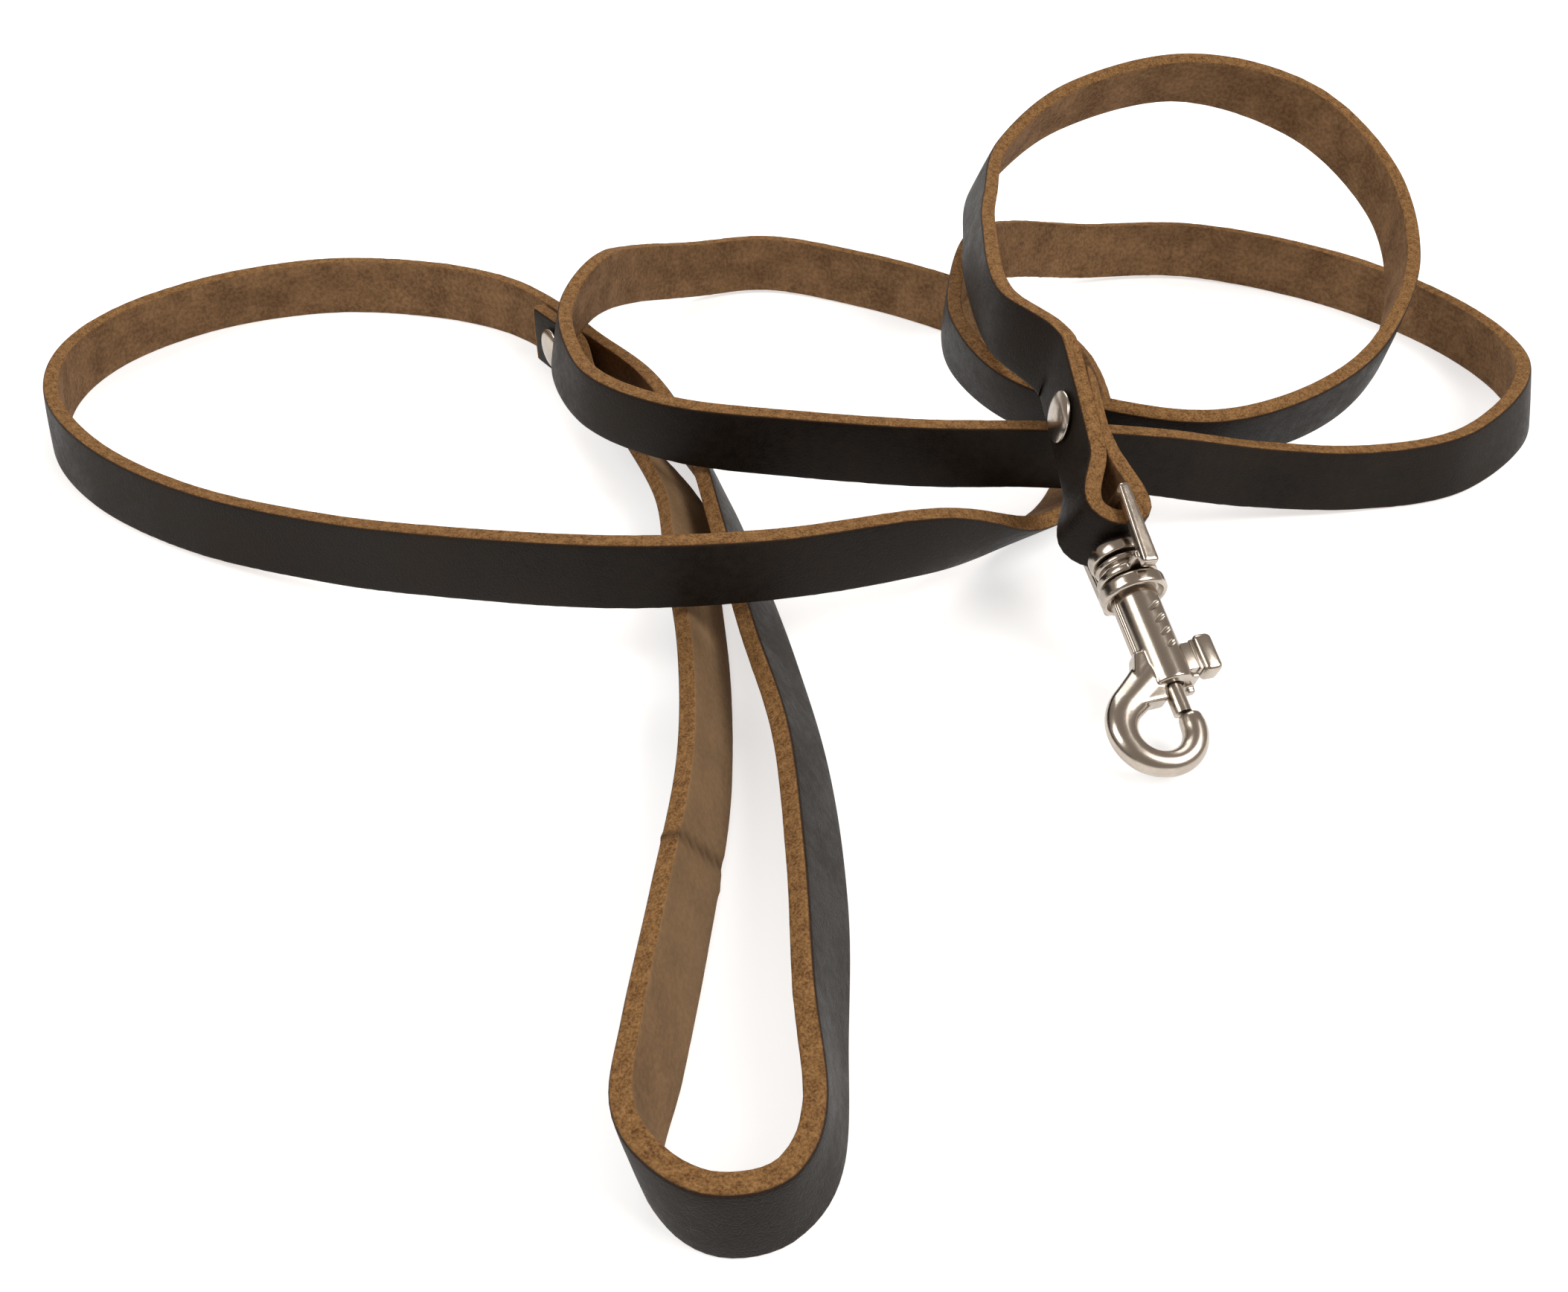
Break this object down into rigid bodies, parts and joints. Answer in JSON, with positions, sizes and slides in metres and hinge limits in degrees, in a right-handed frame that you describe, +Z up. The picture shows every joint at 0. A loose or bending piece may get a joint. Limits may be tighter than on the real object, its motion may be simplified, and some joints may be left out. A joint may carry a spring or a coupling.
{
  "type": "training leash",
  "caption": "Flat leather leash lying in loops on its edge, with a riveted handle loop at one end and a swivel-eye bolt snap at the other.",
  "frame": {"origin": "on the surface the leash lies on, under the centre of its box", "axes": "+Z up, +X across the row of loops towards the snap's side, the handle loop's round end towards -Y"},
  "size_m": [0.3087, 0.267, 0.0542],
  "materials": {
    "strap_leather": "dark brown grain side, mid brown flesh side, tan cut edges",
    "nickel": "bright nickel plate",
    "spring_steel": "drawn wire"
  },
  "bodies": {
    "strap": {"handle_loop": "strap_leather", "lead_strap": "strap_leather", "snap_fold": "strap_leather", "rivet_caps": "nickel", "rivet_posts": "nickel"},
    "eye": {"swivel_eye": "nickel"},
    "hook": {"swivel_stud": "nickel", "hook_body": "nickel", "front_bush": "nickel", "bolt_spring": "spring_steel"},
    "bolt": {"bolt": "nickel", "thumb_stud": "nickel"}
  },
  "joints": [
    {"name": "eye_hinge", "type": "hinge", "parent": "strap", "child": "eye", "pos_m": [0.05, -0.0172, 0.0208], "axis": [0.2036, -0.356, 0.912], "range_deg": [-35, 35]},
    {"name": "swivel", "type": "hinge", "parent": "eye", "child": "hook", "pos_m": [0.05237, -0.02606, 0.01681], "axis": [0.2374, -0.8858, -0.3987], "continuous": true},
    {"name": "bolt_slide", "type": "slide", "parent": "hook", "child": "bolt", "axis": [-0.2374, 0.8858, 0.3987], "range_m": [0, 0.0045], "stiffness_N_per_m": 250, "springref_m": -0.003, "deforming": ["bolt_spring"]}
  ]
}
